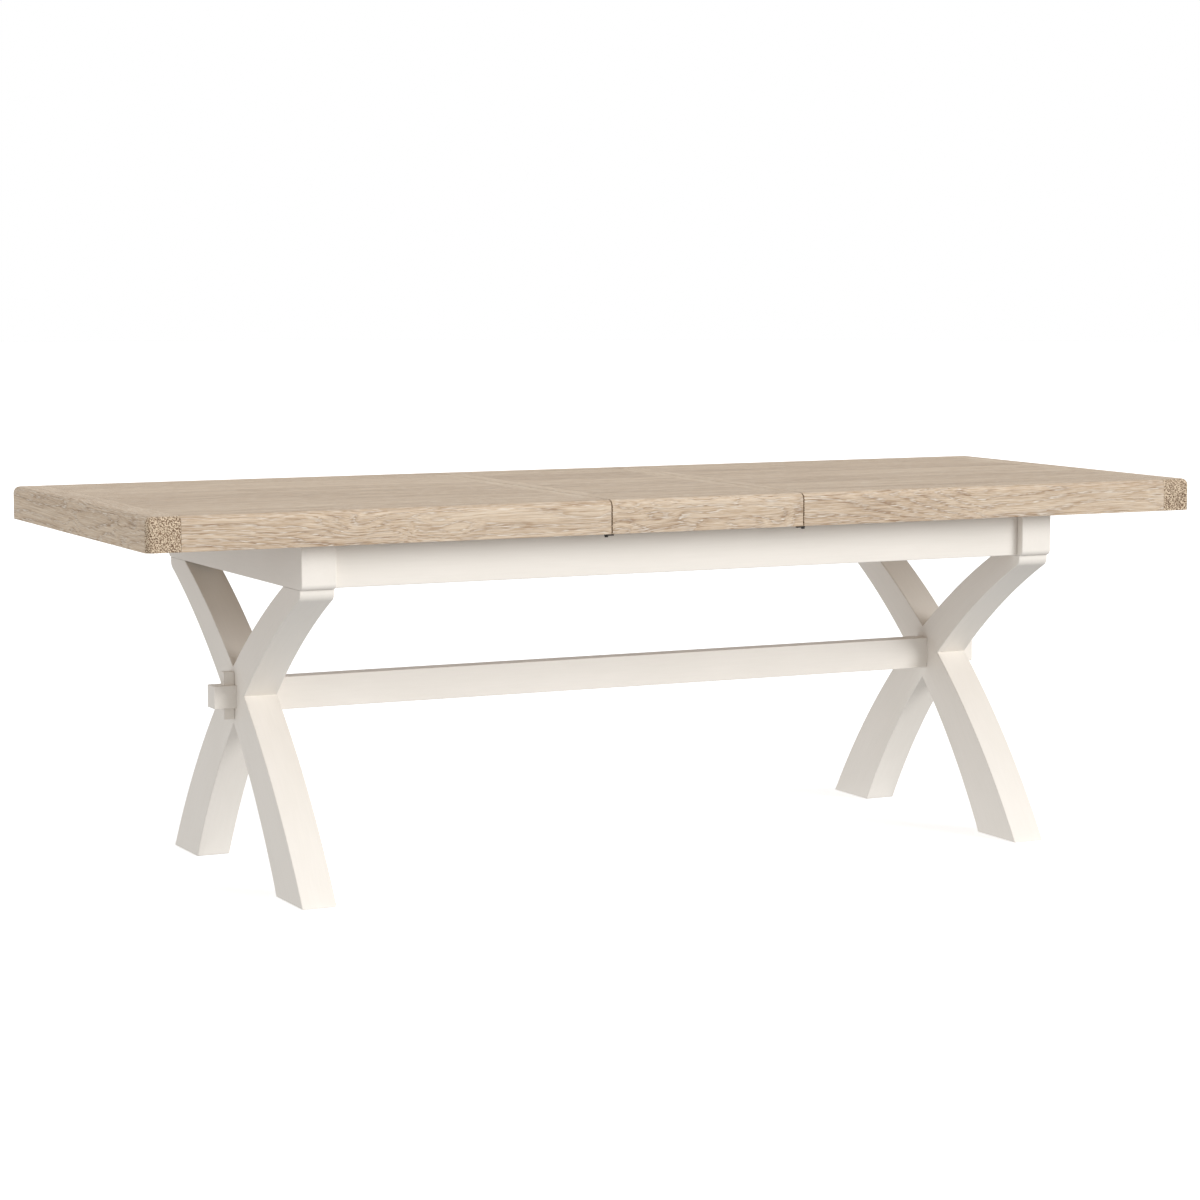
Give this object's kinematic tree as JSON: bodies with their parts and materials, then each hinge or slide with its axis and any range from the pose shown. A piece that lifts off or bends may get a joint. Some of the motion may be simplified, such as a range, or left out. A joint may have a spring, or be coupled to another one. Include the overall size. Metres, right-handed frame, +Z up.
{
  "type": "extendable dining table",
  "caption": "Long trestle dining table with crossed curved legs, a keyed stretcher, a thick plank top in sliding halves and a drop-in extension leaf.",
  "frame": {"origin": "on the floor under the middle of the top", "axes": "+X along the table's length, +Y towards its back edge, +Z up"},
  "size_m": [2.36, 0.9, 0.78],
  "materials": {
    "limed_oak": "pale limed oak, matt",
    "ivory_paint": "ivory satin paint on wood",
    "bare_hardwood": "planed, unfinished",
    "dark_steel": "blackened steel"
  },
  "bodies": {
    "base": {"back_apron": "ivory_paint", "back_guide": "bare_hardwood", "front_apron": "ivory_paint", "front_guide": "bare_hardwood", "left_back_bolt": "dark_steel", "left_back_corner_block": "bare_hardwood", "left_bearer": "ivory_paint", "left_cross_rail": "bare_hardwood", "left_front_bolt": "dark_steel", "left_front_corner_block": "bare_hardwood", "left_key": "ivory_paint", "left_leg_rising_back": "ivory_paint", "left_leg_rising_front": "ivory_paint", "right_back_bolt": "dark_steel", "right_back_corner_block": "bare_hardwood", "right_bearer": "ivory_paint", "right_cross_rail": "bare_hardwood", "right_front_bolt": "dark_steel", "right_front_corner_block": "bare_hardwood", "right_key": "ivory_paint", "right_leg_rising_back": "ivory_paint", "right_leg_rising_front": "ivory_paint", "stretcher": "ivory_paint"},
    "left_top": {"left_back_catch_screw": "dark_steel", "left_back_edge_rail": "limed_oak", "left_back_runner": "bare_hardwood", "left_end_batten": "bare_hardwood", "left_end_board": "limed_oak", "left_front_catch_screw": "dark_steel", "left_front_edge_rail": "limed_oak", "left_front_runner": "bare_hardwood", "left_panel": "limed_oak", "left_seam_batten": "bare_hardwood", "left_seam_strip": "limed_oak"},
    "right_top": {"right_back_catch_screw": "dark_steel", "right_back_edge_rail": "limed_oak", "right_back_runner": "bare_hardwood", "right_end_batten": "bare_hardwood", "right_end_board": "limed_oak", "right_front_catch_screw": "dark_steel", "right_front_edge_rail": "limed_oak", "right_front_runner": "bare_hardwood", "right_panel": "limed_oak", "right_seam_batten": "bare_hardwood", "right_seam_strip": "limed_oak"},
    "leaf": {"leaf_back_batten": "bare_hardwood", "leaf_back_edge_rail": "limed_oak", "leaf_front_batten": "bare_hardwood", "leaf_front_edge_rail": "limed_oak", "leaf_left_strip": "limed_oak", "leaf_panel": "limed_oak", "leaf_right_strip": "limed_oak"},
    "catch_front_left": {"left_front_catch": "dark_steel"},
    "catch_back_left": {"left_back_catch": "dark_steel"},
    "catch_front_right": {"right_front_catch": "dark_steel"},
    "catch_back_right": {"right_back_catch": "dark_steel"}
  },
  "joints": [
    {"name": "left_top_slide", "type": "slide", "parent": "base", "child": "left_top", "axis": [-1, 0, 0], "range_m": [0, 0.025]},
    {"name": "right_top_slide", "type": "slide", "parent": "base", "child": "right_top", "axis": [1, 0, 0], "range_m": [0, 0.025]},
    {"name": "leaf_lift", "type": "slide", "parent": "base", "child": "leaf", "axis": [0, 0, 1], "range_m": [0, 0.2]},
    {"name": "catch_front_left_turn", "type": "hinge", "parent": "left_top", "child": "catch_front_left", "pos_m": [-0.224, -0.436, 0.7097], "axis": [0, 0, 1], "range_deg": [0, 180]},
    {"name": "catch_back_left_turn", "type": "hinge", "parent": "left_top", "child": "catch_back_left", "pos_m": [-0.224, 0.436, 0.7097], "axis": [0, 0, -1], "range_deg": [0, 180]},
    {"name": "catch_front_right_turn", "type": "hinge", "parent": "right_top", "child": "catch_front_right", "pos_m": [0.224, -0.436, 0.7097], "axis": [0, 0, -1], "range_deg": [0, 180]},
    {"name": "catch_back_right_turn", "type": "hinge", "parent": "right_top", "child": "catch_back_right", "pos_m": [0.224, 0.436, 0.7097], "axis": [0, 0, 1], "range_deg": [0, 180]}
  ]
}
